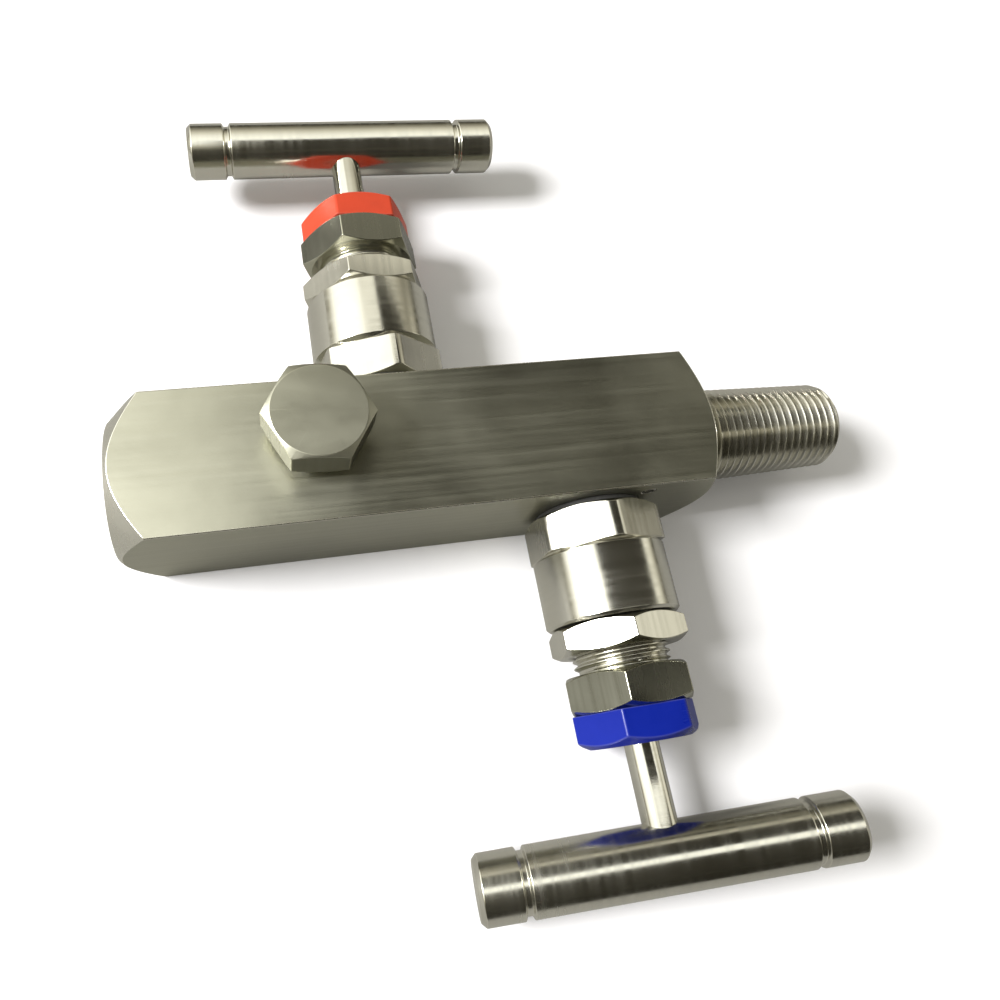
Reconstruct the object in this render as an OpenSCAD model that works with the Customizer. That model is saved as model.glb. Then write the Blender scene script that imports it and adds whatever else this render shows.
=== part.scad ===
// Two-valve block-and-bleed needle valve manifold.
// A square bar body carries an isolating valve, a vent valve and a vent plug.
// +X runs along the bar to the male process thread, +Y to the vent valve, +Z up.
// The origin is the middle of the bar's underside. Millimetres.

/* [Bar body] */
// across the flats of the square bar
bar_w = 30; // [28:0.5:32]
// length of the full square section, between the turned ends
bar_len = 115; // [100:1:130]
// length of the turned chamfer at the instrument end
tail_len = 7; // [5:0.5:7]
// length of the turned nose at the process end
nose_len = 5.6; // [4:0.2:6]

/* [Process thread, 1/2-14 NPT male] */
// outside radius of the thread at its large end
male_r = 10.67; // [10.5:0.01:10.8]
// length from the nose to the tip
male_len = 33.5; // [20:0.5:36]
// thread pitch
male_pitch = 1.814; // [1.814:0.001:1.814]
// depth of the thread form
male_depth = 1.2; // [1:0.05:1.45]

/* [Instrument port, 1/2-14 NPT female] */
// radius of the tapped wall
port_r = 9.2; // [9:0.05:9.4]
// depth of the tapped wall
port_len = 17; // [15:0.5:20]

/* [Passages] */
// radius of the process bore
bore_r = 2.25; // [2:0.05:2.5]
// radius of the drilled cross passages
passage_r = 2; // [1.5:0.1:2]
// distance of the cross passages from the bar's centre plane
passage_off = 6.8; // [6.5:0.1:7]

/* [Valve positions] */
// isolating valve along the bar
isolate_x = 34; // [28:0.5:38]
// vent valve along the bar
vent_x = -7.5; // [-12:0.5:0]
// isolating handle, turned from level
isolate_turn = 8.6; // [-10:0.1:10]
// vent handle, turned from level
vent_turn = 0; // [-10:0.1:10]

/* [Bonnet] */
// across the flats of the bonnet hex
bonnet_af = 26; // [24:0.1:26]
// length of the bonnet hex
bonnet_hex_len = 8.3; // [7:0.1:10]
// radius of the turned barrel
barrel_r = 14; // [13:0.1:14.4]
// length of the turned barrel
barrel_len = 15; // [13:0.5:17]
// radius of the thread that enters the body
spigot_r = 9; // [8:0.1:10]
// thickness of the seal washer under the hex
seal_t = 1.2; // [0.8:0.1:2]

/* [Gland] */
// across the flats of the lock nut
locknut_af = 25.4; // [24:0.1:25.5]
// thickness of the lock nut
locknut_t = 5.8; // [5:0.1:7]
// across the flats of the gland bolt head
gland_af = 24; // [22:0.1:25]
// height of the gland bolt head
gland_head = 7.5; // [6:0.1:8]
// radius of the gland bolt shank
gland_r = 10; // [9:0.1:10.5]
// across the flats of the coloured dust cap
cap_af = 22.6; // [21:0.1:23]
// height of the dust cap
cap_h = 6.8; // [5:0.1:8]

/* [Spindle and handle] */
// radius of the polished spindle
spindle_r = 3.5; // [3:0.1:4]
// radius over the spindle's screw thread
screw_r = 4.95; // [4.5:0.05:5]
// distance of the handle from the bar's centre line
handle_s = 85; // [80:0.5:90]
// radius of the handle bar
handle_r = 6.5; // [5:0.1:7]
// length of the handle bar
handle_len = 75; // [60:1:82]
// lift of the needle from the seat as stored
rest_lift = 3.75; // [0:0.05:5]

/* [Vent plug, 1/4-18 NPT] */
// plug centre along the bar
plug_x = -23.8; // [-28:0.5:-20]
// plug centre across the bar
plug_y = 3; // [0:0.1:5]
// across the flats of the plug's hex head
plug_af = 19; // [17:0.5:20]
// height of the hex head
plug_head = 8.2; // [6:0.1:9]
// thread left showing under the head
plug_show = 3.2; // [1:0.1:5]

/* [Hidden] */
$fn = 96;

half = bar_w / 2;
end_x = bar_len / 2;
nose_x = end_x + nose_len;
tip_x = nose_x + male_len;
tail_x = -end_x - tail_len;
corner_r = half * sqrt(2);
// clearance between pieces that are screwed or pushed together
fit = 0.05;

// distances along a valve's axis, from the bar's centre line outwards
seat_s = 2.5;
chamber_s = 5.5;
spigot_s = 9.5;
hex_s = half + seal_t;
barrel_s = hex_s + bonnet_hex_len;
bonnet_top = barrel_s + barrel_len;
box_s = 24;
gland_s = 31;
shank_s = 33;
locknut_s = bonnet_top + 0.2;
head_s = bonnet_top + 10;
cap_s = head_s + gland_head;
boss_top = cap_s + cap_h - 2.4;
screw_end = 22;
needle_end = 9;

seat_r = 5;
chamber_r = 6.5;
orifice_r = 2;
needle_r = 3.2;
stub_r = 1.6;
pack_r = 7;
boss_r = 8;
pin_r = 1.5;
pin_x = 10.2;
pin_y = 10.5;
cone = tan(30);

plug_r = 6.84;
plug_in = 11;

steel = [0.62, 0.61, 0.57];
bright = [0.78, 0.78, 0.77];

// ---- placing ----

// A valve is drawn along +Z from the bar's centre line, then laid onto its side of the bar.
module on_isolate() {
    translate([isolate_x, 0, half]) rotate([90, 0, 0]) children();
}

module on_vent() {
    translate([vent_x, 0, half]) rotate([90, 0, 180]) children();
}

// ---- shared shapes ----

module ring(s0, s1, r_out, r_in) {
    translate([0, 0, s0]) difference() {
        cylinder(h = s1 - s0, r = r_out);
        translate([0, 0, -1]) cylinder(h = s1 - s0 + 2, r = r_in);
    }
}

module rod(s0, s1, r) {
    translate([0, 0, s0]) cylinder(h = s1 - s0, r = r);
}

// Hexagon with the corners turned off at either face, as on any machined nut.
module turned_hex(s0, s1, af, turn, lower, upper) {
    r = af / sqrt(3);
    face_r = af / 2 * 0.985;
    out_r = r + 1;
    slope = (out_r - face_r) * 0.55;
    h = s1 - s0;
    translate([0, 0, s0]) rotate([0, 0, turn]) intersection() {
        cylinder(h = h, r = r, $fn = 6);
        rotate([0, 0, 30]) rotate_extrude() polygon([
            [0, 0], [lower ? face_r : out_r, 0], [out_r, lower ? slope : 0.01],
            [out_r, upper ? h - slope : h - 0.01], [upper ? face_r : out_r, h], [0, h]
        ]);
    }
}

// ---- body ----

// Turned envelope of the bar, about its own centre line, drawn along +Z.
// Both cones run through the bar's corners where the full section ends.
module envelope() {
    face_r = corner_r - tail_len;
    neck_r = corner_r - nose_len * tan(60);
    rotate_extrude() polygon([
        [0, tail_x], [face_r, tail_x], [corner_r + 1, -end_x + 1],
        [corner_r + 1, end_x - 1 / tan(60)], [neck_r, nose_x], [0, nose_x]
    ]);
}

// Taper thread drawn as closed ridges along +Z, small end at the tip.
module male_thread() {
    taper = 1 / 32;
    n = floor((male_len - 2) / male_pitch);
    first = nose_x + 0.8;
    function crest(x) = male_r - (x - nose_x) * taper;
    rotate_extrude() polygon(concat(
        [[0, nose_x - 1], [male_r - male_depth, nose_x - 1], [male_r - male_depth, first]],
        [for (i = [0 : n - 1]) each [
            [crest(first) - male_depth - i * male_pitch * taper, first + i * male_pitch],
            [crest(first + i * male_pitch), first + (i + 0.42) * male_pitch],
            [crest(first + i * male_pitch), first + (i + 0.58) * male_pitch]
        ]],
        [
            [crest(tip_x) - male_depth, first + n * male_pitch],
            [crest(tip_x) - male_depth - 0.6, tip_x], [0, tip_x]
        ]
    ));
}

module valve_cavity() {
    rod(-bore_r * 0.6, seat_s + 0.1, orifice_r);
    rod(seat_s, chamber_s + 0.1, seat_r + fit);
    rod(chamber_s, spigot_s + 0.1, chamber_r);
    rod(spigot_s, half + 1, spigot_r + fit);
    translate([pin_x, pin_y, half - 5]) cylinder(h = 7, r = pin_r + fit);
}

module body() {
    color(steel) difference() {
        union() {
            intersection() {
                translate([tail_x, -half, 0]) cube([nose_x - tail_x, bar_w, bar_w]);
                translate([0, 0, half]) rotate([0, 90, 0]) envelope();
            }
            translate([0, 0, half]) rotate([0, 90, 0]) male_thread();
        }
        // process bore, from the male tip to under the isolating seat
        translate([isolate_x, 0, half]) rotate([0, 90, 0]) cylinder(h = 100, r = bore_r);
        // threaded port in the left end face, with a flat floor and a bore behind it
        translate([tail_x - 1, 0, half]) rotate([0, 90, 0]) cylinder(h = port_len + 1, r = port_r);
        translate([tail_x - 0.1, 0, half]) rotate([0, 90, 0])
            cylinder(h = 1.8, r1 = port_r + 1.7, r2 = port_r - 0.1);
        // outlet passage, from the isolating chamber back to the instrument port
        translate([tail_x + port_len - 1, -passage_off, half]) rotate([0, 90, 0])
            cylinder(h = isolate_x - tail_x - port_len + 1, r = passage_r);
        on_isolate() valve_cavity();
        on_vent() valve_cavity();
        // drilling from the vent seat down to the outlet passage
        on_vent() rod(-passage_off, -bore_r * 0.5, orifice_r - 0.3);
        // vent port and the slanted drilling that feeds it from the vent chamber
        translate([plug_x, plug_y, bar_w - plug_in - 2]) cylinder(h = 3, r = 5.6);
        translate([plug_x, plug_y, bar_w - plug_in - 0.2])
            cylinder(h = plug_in + 0.3, r1 = plug_r + fit - plug_in / 32, r2 = plug_r + fit);
        translate([plug_x, plug_y, bar_w - plug_in]) rotate([0, 106, 8])
            cylinder(h = 12.5, r = passage_r);
    }
}

module vent_plug() {
    color(bright) translate([plug_x, plug_y, bar_w]) {
        translate([0, 0, -plug_in])
            cylinder(h = plug_in, r1 = plug_r - plug_in / 32, r2 = plug_r);
        cylinder(h = plug_show + 0.5, r = plug_r - 0.15);
        turned_hex(plug_show, plug_show + plug_head, plug_af, -4, true, true);
    }
}

// ---- pieces of a valve, drawn along +Z ----

// Replaceable seat, with a conical mouth for the needle.
module seat() {
    mouth = 1.2;
    translate([0, 0, seat_s]) difference() {
        cylinder(h = chamber_s - seat_s, r = seat_r);
        translate([0, 0, -1]) cylinder(h = 6, r = orifice_r);
        translate([0, 0, chamber_s - seat_s - mouth])
            cylinder(h = mouth + 0.01, r1 = orifice_r, r2 = orifice_r + mouth * cone);
    }
}

module bonnet_seal() {
    ring(half, hex_s, spigot_r + 2.6, spigot_r + fit);
}

module bonnet(turn) {
    difference() {
        union() {
            rod(spigot_s, hex_s + 1, spigot_r);
            intersection() {
                turned_hex(hex_s, barrel_s + 0.5, bonnet_af, turn, true, false);
                rod(hex_s, barrel_s + 0.5, 14.7);
            }
            translate([0, 0, barrel_s]) cylinder(h = 0.8, r1 = barrel_r - 1, r2 = barrel_r);
            rod(barrel_s + 0.8, bonnet_top - 0.6, barrel_r);
            translate([0, 0, bonnet_top - 0.6]) cylinder(h = 0.6, r1 = barrel_r, r2 = barrel_r - 0.6);
        }
        rod(spigot_s - 1, box_s + 1, screw_r + fit);
        rod(box_s, gland_s + 1, pack_r);
        rod(gland_s, bonnet_top + 1, gland_r + fit);
    }
}

// Slotted spring pin that stops the bonnet from turning out.
module lock_pin() {
    translate([pin_x, pin_y, half - 4.8]) difference() {
        cylinder(h = 4.9, r = pin_r);
        translate([0, 0, -1]) cylinder(h = 7, r = pin_r - 0.4);
        translate([0, -0.25, -1]) cube([3, 0.5, 7]);
    }
}

module lock_nut(turn) {
    difference() {
        turned_hex(locknut_s, locknut_s + locknut_t, locknut_af, turn, true, true);
        rod(locknut_s - 1, locknut_s + locknut_t + 1, gland_r + fit);
    }
}

module gland_bolt(turn) {
    difference() {
        union() {
            rod(shank_s, head_s + 0.5, gland_r);
            turned_hex(head_s, cap_s, gland_af, turn, true, true);
            rod(cap_s - 0.5, boss_top, boss_r);
        }
        rod(shank_s - 1, boss_top + 1, spindle_r + 0.08);
    }
}

module gland_follower() {
    ring(gland_s - 1, gland_s + 0.5, pack_r - fit, spindle_r + 0.08);
    ring(gland_s + 0.4, shank_s - 0.05, gland_r - 0.6, spindle_r + 0.08);
}

module packing() {
    depth = (gland_s - 1) - (box_s + 1);
    for (i = [0 : 2])
        ring(box_s + 1.02 + i * depth / 3, box_s + 0.98 + (i + 1) * depth / 3,
             pack_r - 0.03, spindle_r + 0.03);
}

module packing_washer() {
    ring(box_s + 0.02, box_s + 1, pack_r - fit, spindle_r + 0.06);
}

// Moulded cap that closes over the gland bolt's boss.
module dust_cap(turn) {
    difference() {
        turned_hex(cap_s + 0.05, cap_s + cap_h, cap_af, turn, false, true);
        rod(cap_s - 1, boss_top + fit, boss_r + fit);
        rod(boss_top - 1, cap_s + cap_h + 1, spindle_r + 0.1);
    }
}

// Non-rotating needle, as it stands on the seat, lifted by rest_lift.
module needle() {
    gap = 0.04;
    nose = 1.2;
    cone_s = chamber_s - 1.2;
    s0 = cone_s + (nose + gap - orifice_r) / cone;
    s1 = cone_s + (needle_r + gap - orifice_r) / cone;
    translate([0, 0, rest_lift]) {
        translate([0, 0, s0]) cylinder(h = s1 - s0, r1 = nose, r2 = needle_r);
        rod(s1 - 0.01, needle_end, needle_r);
        rod(needle_end - 0.5, needle_end + 3.5, stub_r);
    }
}

module spindle() {
    foot = needle_end + rest_lift + 0.05;
    difference() {
        union() {
            rod(foot, foot + 2.5, screw_r - 0.95);
            rod(foot + 2.2, screw_end, screw_r);
            rod(screw_end - 0.5, handle_s + 3.5, spindle_r);
        }
        rod(foot - 1, foot + 3.6, stub_r + fit);
    }
}

module handle() {
    groove_x = handle_len / 2 - 9.3;
    difference() {
        translate([0, 0, handle_s]) rotate([0, 90, 0]) rotate_extrude() polygon([
            [0, -handle_len / 2], [handle_r - 1, -handle_len / 2], [handle_r, -handle_len / 2 + 1],
            [handle_r, -groove_x - 0.9], [handle_r - 0.8, -groove_x - 0.5],
            [handle_r - 0.8, -groove_x + 0.5], [handle_r, -groove_x + 0.9],
            [handle_r, groove_x - 0.9], [handle_r - 0.8, groove_x - 0.5],
            [handle_r - 0.8, groove_x + 0.5], [handle_r, groove_x + 0.9],
            [handle_r, handle_len / 2 - 1], [handle_r - 1, handle_len / 2], [0, handle_len / 2]
        ]);
        rod(handle_s - 10, handle_s + 3.6, spindle_r + 0.02);
        translate([0, 0, handle_s]) rotate([90, 0, 0]) cylinder(h = 10, r = 2.02);
    }
}

// Grub screw that clamps the handle to the spindle, with its hexagon socket.
module handle_screw() {
    translate([0, -spindle_r - 0.05, handle_s]) rotate([90, 0, 0]) difference() {
        cylinder(h = handle_r - spindle_r - 0.35, r = 2);
        translate([0, 0, 1]) cylinder(h = 4, r = 1.15, $fn = 6);
    }
}

// ---- isolating valve ----

module isolate_seat() { color(bright) on_isolate() seat(); }
module isolate_bonnet_seal() { color([0.4, 0.4, 0.4]) on_isolate() bonnet_seal(); }
module isolate_bonnet() { color(bright) on_isolate() bonnet(30); }
module isolate_lock_pin() { color([0.3, 0.3, 0.3]) on_isolate() lock_pin(); }
module isolate_lock_nut() { color(bright) on_isolate() lock_nut(36); }
module isolate_gland_bolt() { color(steel) on_isolate() gland_bolt(52); }
module isolate_gland_follower() { color(bright) on_isolate() gland_follower(); }
module isolate_packing() { color([0.93, 0.93, 0.9]) on_isolate() packing(); }
module isolate_packing_washer() { color(bright) on_isolate() packing_washer(); }
module isolate_dust_cap() { color([0.05, 0.12, 0.8]) on_isolate() dust_cap(2); }
module isolate_needle() { color(bright) on_isolate() needle(); }
module isolate_spindle() { color(bright) on_isolate() spindle(); }
module isolate_handle() { color(bright) on_isolate() rotate([0, 0, isolate_turn]) handle(); }
module isolate_handle_screw() { color(steel) on_isolate() rotate([0, 0, isolate_turn]) handle_screw(); }

// ---- vent valve ----

module vent_seat() { color(bright) on_vent() seat(); }
module vent_bonnet_seal() { color([0.4, 0.4, 0.4]) on_vent() bonnet_seal(); }
module vent_bonnet() { color(bright) on_vent() bonnet(40); }
module vent_lock_pin() { color([0.3, 0.3, 0.3]) on_vent() lock_pin(); }
module vent_lock_nut() { color(bright) on_vent() lock_nut(10); }
module vent_gland_bolt() { color(steel) on_vent() gland_bolt(8); }
module vent_gland_follower() { color(bright) on_vent() gland_follower(); }
module vent_packing() { color([0.93, 0.93, 0.9]) on_vent() packing(); }
module vent_packing_washer() { color(bright) on_vent() packing_washer(); }
module vent_dust_cap() { color([0.9, 0.2, 0.1]) on_vent() dust_cap(5); }
module vent_needle() { color(bright) on_vent() needle(); }
module vent_spindle() { color(bright) on_vent() spindle(); }
module vent_handle() { color(bright) on_vent() rotate([0, 0, vent_turn]) handle(); }
module vent_handle_screw() { color(steel) on_vent() rotate([0, 0, vent_turn]) handle_screw(); }

// ---- drawing ----

body();
vent_plug();
isolate_seat();
isolate_bonnet_seal();
isolate_bonnet();
isolate_lock_pin();
isolate_lock_nut();
isolate_gland_bolt();
isolate_gland_follower();
isolate_packing();
isolate_packing_washer();
isolate_dust_cap();
isolate_needle();
isolate_spindle();
isolate_handle();
isolate_handle_screw();
vent_seat();
vent_bonnet_seal();
vent_bonnet();
vent_lock_pin();
vent_lock_nut();
vent_gland_bolt();
vent_gland_follower();
vent_packing();
vent_packing_washer();
vent_dust_cap();
vent_needle();
vent_spindle();
vent_handle();
vent_handle_screw();
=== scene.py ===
"""Looks of a two-valve needle valve manifold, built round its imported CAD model.

Each CAD node is replaced by a finished mesh of the same piece, with rounded edges, helical
threads and procedural metal or plastic. The pieces' sizes are those of the CAD source or
follow from them. Pitches and depths of threads are added where the CAD has plain rods and
bores. Sizes are in millimetres and are scaled to metres as each mesh is written.
"""

import math

import bmesh
import bpy
from mathutils import Matrix, Vector


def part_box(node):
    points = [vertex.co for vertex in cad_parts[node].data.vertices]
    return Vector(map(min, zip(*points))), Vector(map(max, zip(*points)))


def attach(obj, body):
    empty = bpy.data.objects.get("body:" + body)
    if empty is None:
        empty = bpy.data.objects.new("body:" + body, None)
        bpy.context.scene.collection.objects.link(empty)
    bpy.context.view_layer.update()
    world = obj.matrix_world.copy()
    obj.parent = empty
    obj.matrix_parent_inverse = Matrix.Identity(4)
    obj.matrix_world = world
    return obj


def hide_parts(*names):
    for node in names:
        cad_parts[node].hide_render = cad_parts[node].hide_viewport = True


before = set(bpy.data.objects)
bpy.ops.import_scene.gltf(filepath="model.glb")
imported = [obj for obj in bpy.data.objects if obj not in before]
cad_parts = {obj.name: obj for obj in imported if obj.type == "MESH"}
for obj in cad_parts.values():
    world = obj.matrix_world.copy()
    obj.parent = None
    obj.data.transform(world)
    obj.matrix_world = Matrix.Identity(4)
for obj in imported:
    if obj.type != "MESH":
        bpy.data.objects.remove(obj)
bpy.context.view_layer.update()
MM = 0.001
scene = bpy.context.scene


def centre(node, axis):
    """Middle of a CAD node along an axis, in millimetres."""
    low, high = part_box(node)
    return (low[axis] + high[axis]) / 2 / MM


# ---- sizes -------------------------------------------------------------------------

# bar body
HALF = 15.0
TAIL_X = -64.5
NOSE_X = 63.1
TIP_X = 96.6
TAIL_FACE_R = 14.213
NOSE_FACE_R = 11.514

# half-inch taper pipe thread, male and female
PIPE_PITCH = 1.814
MALE_R = 10.67
MALE_DEPTH = 1.2
PORT_R = 9.2
PORT_DEPTH = 1.05
PORT_BEVEL = 1.7
PORT_LEN = 17.0
TAPER = 1 / 32

# passages
BORE_R = 2.25
PASSAGE_R = 2.0
PASSAGE_OFF = 6.8

# distances out along a valve's axis, from the bar's centre line
SEAT_S = 2.5
CHAMBER_S = 5.5
SPIGOT_S = 9.5
HEX_S = 16.2
BARREL_S = 24.5
BONNET_TOP = 39.5
BOX_S = 24.0
GLAND_S = 31.0
SHANK_S = 33.0
LOCKNUT_S = 39.7
LOCKNUT_T = 5.8
HEAD_S = 49.5
CAP_S = 57.0
CAP_TOP = 63.8
BOSS_TOP = 61.4
HANDLE_S = 85.0

# radii and widths across flats of a valve's pieces, and their screw threads
SEAT_R = 5.0
SEAT_MOUTH = 1.2
CHAMBER_R = 6.5
ORIFICE_R = 2.0
SPIGOT_R = 9.0
BONNET_AF = 26.0
BONNET_CORNER_R = 14.7
BARREL_R = 14.0
LOCKNUT_AF = 25.4
GLAND_AF = 24.0
GLAND_R = 10.0
GLAND_PITCH = 1.5
GLAND_DEPTH = 0.9
CAP_AF = 22.6
PACK_R = 7.0
BOSS_R = 8.0
SCREW_R = 4.95
SCREW_PITCH = 1.25
SCREW_DEPTH = 0.75
SPINDLE_R = 3.5
GUIDE_R = SPINDLE_R + 0.08
NEEDLE_R = 3.2
STUB_R = 1.6
REST_LIFT = 3.75
NEEDLE_END = 9.0
SCREW_END = 22.0

# handle
HANDLE_R = 6.5
HANDLE_LEN = 75.0
GROOVE_X = 28.2

# lock pin, beside each bonnet
PIN_R = 1.5
PIN_X = 10.2
PIN_Y = 10.5

# vent plug
PLUG_R = 6.84
PLUG_AF = 19.0
PLUG_IN = 11.0
PLUG_SHOW = 3.2
PLUG_HEAD = 8.2
PLUG_PITCH = 1.411
PLUG_DEPTH = 0.85

FIT = 0.05

# hexagons: size of a turned face beside the flats' distance, and a corner's radius
HEX_FACE = 0.985
HEX_CORNER_R = 0.3

# how each valve's hexagons and handle stand, in degrees
VALVES = {
    "isolate": {"bonnet": 30, "lock_nut": 36, "gland_bolt": 52, "dust_cap": 2, "handle": 8.6},
    "vent": {"bonnet": 40, "lock_nut": 10, "gland_bolt": 8, "dust_cap": 5, "handle": 0},
}


# ---- places ------------------------------------------------------------------------

# Each matrix takes a piece drawn along its own +Z into the shared frame, in millimetres.
ALONG_BAR = Matrix.Translation((0, 0, HALF)) @ Matrix(
    ((0, 0, 1, 0), (1, 0, 0, 0), (0, 1, 0, 0), (0, 0, 0, 1))
)
ISOLATE_X = centre("isolate_spindle", 0)
ON_VALVE = {
    "isolate": Matrix.Translation((ISOLATE_X, 0, HALF))
    @ Matrix.Rotation(math.radians(90), 4, "X"),
    "vent": Matrix.Translation((centre("vent_spindle", 0), 0, HALF))
    @ Matrix.Rotation(math.radians(180), 4, "Z")
    @ Matrix.Rotation(math.radians(90), 4, "X"),
}
PLUG_X, PLUG_Y = -23.8, 3.0
ON_TOP = Matrix.Translation((PLUG_X, PLUG_Y, 2 * HALF))


def turned(place, degrees):
    return place @ Matrix.Rotation(math.radians(degrees), 4, "Z")


# ---- mesh tools --------------------------------------------------------------------


def around(count):
    """Evenly spaced directions round an axis."""
    return [2 * math.pi * i / count for i in range(count)]


def polygon_reach(angle, sides, apothem, corner):
    """Distance out to a rounded polygon. Its first corner lies at angle 0."""
    step = math.pi / sides
    off = step - abs((angle % (2 * step)) - step)
    flat = step - off
    if apothem * math.tan(flat) <= (apothem - corner) * math.tan(step):
        return apothem / math.cos(flat)
    middle = (apothem - corner) / math.cos(step)
    return middle * math.cos(off) + math.sqrt(corner**2 - (middle * math.sin(off)) ** 2)


def polygon_angles(sides, apothem, corner, flat_steps, corner_steps=6):
    """Directions round a rounded polygon, closer together at its corners."""
    step = math.pi / sides
    edge = step - math.atan((apothem - corner) * math.tan(step) / apothem)
    angles = []
    for side in range(sides):
        at = 2 * step * side
        angles += [at + edge * (2 * i / corner_steps - 1) for i in range(corner_steps)]
        span = 2 * (step - edge)
        angles += [at + edge + span * i / flat_steps for i in range(flat_steps)]
    return sorted(a % (2 * math.pi) for a in angles)


def rounded(points, radii, loop=True, steps=4):
    """Rounds the corners of an (r, s) outline.

    Every corner gives the same number of points, so that outlines at different angles
    join up. Each point ends with 1 on a rounded edge and 0 elsewhere.
    """
    out = []
    for i, point in enumerate(points):
        at = Vector(point)
        back = Vector(points[i - 1]) - at
        on = Vector(points[(i + 1) % len(points)]) - at
        if radii[i] == 0 or (not loop and i in (0, len(points) - 1)):
            out.append((at.x, at.y, 0.0))
            continue
        if min(back.length, on.length) < 1e-6:
            out += [(at.x, at.y, 0.0)] * (steps + 1)
            continue
        corner = back.angle(on)
        if corner > math.pi - 0.02:
            out += [(at.x, at.y, 0.0)] * (steps + 1)
            continue
        cut = min(radii[i] / math.tan(corner / 2), 0.45 * back.length, 0.45 * on.length)
        middle = at + (back.normalized() + on.normalized()).normalized() * (
            cut / math.cos(corner / 2)
        )
        start = at + back.normalized() * cut - middle
        end = at + on.normalized() * cut - middle
        sweep = math.pi - corner
        for k in range(steps + 1):
            share = k / steps
            spoke = (
                math.sin((1 - share) * sweep) * start + math.sin(share * sweep) * end
            ) / math.sin(sweep)
            spot = middle + spoke
            out.append((spot.x, spot.y, 1.0 if 0 < k < steps else 0.0))
    return out


# height of a rolled or cut thread over one pitch, from root to root
THREAD_FORM = (
    (0.00, 0.00), (0.07, 0.02), (0.12, 0.12), (0.24, 0.42), (0.38, 0.86),
    (0.44, 0.98), (0.50, 1.00), (0.56, 0.98), (0.62, 0.86), (0.76, 0.42),
    (0.88, 0.12), (0.93, 0.02),
)


def thread_rows(start, end, pitch):
    """Number of rows that a thread from start to end takes in an outline."""
    turns = math.ceil((end - start) / pitch)
    return (turns + 1) * len(THREAD_FORM) + 1


def thread(angle, start, end, pitch, reach):
    """Rows of a helical thread in the outline at one angle.

    reach(s, height) gives the radius at s for a thread height from 0 to 1, and must not
    depend on the height at either end.
    """
    rows = []
    for k in range(thread_rows(start, end, pitch)):
        turn, part = divmod(k, len(THREAD_FORM))
        share, height = THREAD_FORM[part]
        s = start + (turn - 1 + share + angle / (2 * math.pi)) * pitch
        s = min(max(s, start), end)
        rows.append((reach(s, height), s, 0.5 * height))
    return rows


def fade(s, start, end, run_in, run_out):
    """1 along a thread, smoothly 0 at either end."""
    share = min((s - start) / run_in, (end - s) / run_out, 1)
    share = max(share, 0)
    return share * share * (3 - 2 * share)


def loft(name, place, angles, outline, loop=True, helices=()):
    """Closed mesh with one (r, s, wear) outline for each angle round an axis.

    A loop is a ring with a hole through it. Otherwise the outline starts and ends on the
    axis. Each helix is (first row, rows, direction) of rows that wind round the axis.
    """
    columns = [outline(a) for a in angles]
    rows = len(columns[0])

    def spot(i, j):
        j %= rows
        if i < len(angles):
            return i * rows + j
        for first, count, direction in helices:
            if first <= j < first + count:
                on = j + direction * len(THREAD_FORM)
                return min(max(on, first), first + count - 1)
        return j

    points, wear_and_highlight = [], []
    for a, column in zip(angles, columns):
        for r, s, worn in column:
            points.append(place @ Vector((r * math.cos(a), r * math.sin(a), s)) * MM)
            wear_and_highlight.append(worn)
    faces = [
        (spot(i, j), spot(i + 1, j), spot(i + 1, j + 1), spot(i, j + 1))
        for i in range(len(angles))
        for j in range(rows if loop else rows - 1)
    ]
    mesh = bpy.data.meshes.new(name)
    mesh.from_pydata(points, [], faces)
    mesh.attributes.new("wear_and_highlight", "FLOAT", "POINT").data.foreach_set("value", wear_and_highlight)
    work = bmesh.new()
    work.from_mesh(mesh)
    bmesh.ops.remove_doubles(work, verts=work.verts, dist=5e-7)
    bmesh.ops.recalc_face_normals(work, faces=work.faces)
    open_edges = sum(1 for e in work.edges if len(e.link_faces) != 2)
    if open_edges:
        raise ValueError(f"{name} has {open_edges} open edges")
    work.to_mesh(mesh)
    work.free()
    piece = bpy.data.objects.new(name, mesh)
    scene.collection.objects.link(piece)
    return piece


def drill(name, place, points, count=64):
    """Turned solid to cut a hole with, from its (r, s) points off the axis."""
    ends = [(0, points[0][1]), *points, (0, points[-1][1])]
    outline = [(r, s, 0.0) for r, s in ends]
    return loft(name, place, around(count), lambda a: outline, loop=False)


def hexagonal_prism(name, place, across, s0, s1):
    """Straight hexagonal solid to cut a socket with."""
    r = across / 2 / math.cos(math.pi / 6)
    outline = [(0, s0, 0.0), (r, s0, 0.0), (r, s1, 0.0), (0, s1, 0.0)]
    return loft(name, place, around(6), lambda a: outline, loop=False)


def cut(piece, *cutters):
    """Takes the cutters out of a piece, and removes them."""
    for cutter in cutters:
        step = piece.modifiers.new("cut", "BOOLEAN")
        step.operation = "DIFFERENCE"
        step.solver = "MANIFOLD"
        step.object = cutter
    depsgraph = bpy.context.evaluated_depsgraph_get()
    mesh = bpy.data.meshes.new_from_object(piece.evaluated_get(depsgraph))
    piece.modifiers.clear()
    piece.data = mesh
    for cutter in cutters:
        bpy.data.objects.remove(cutter)


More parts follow.
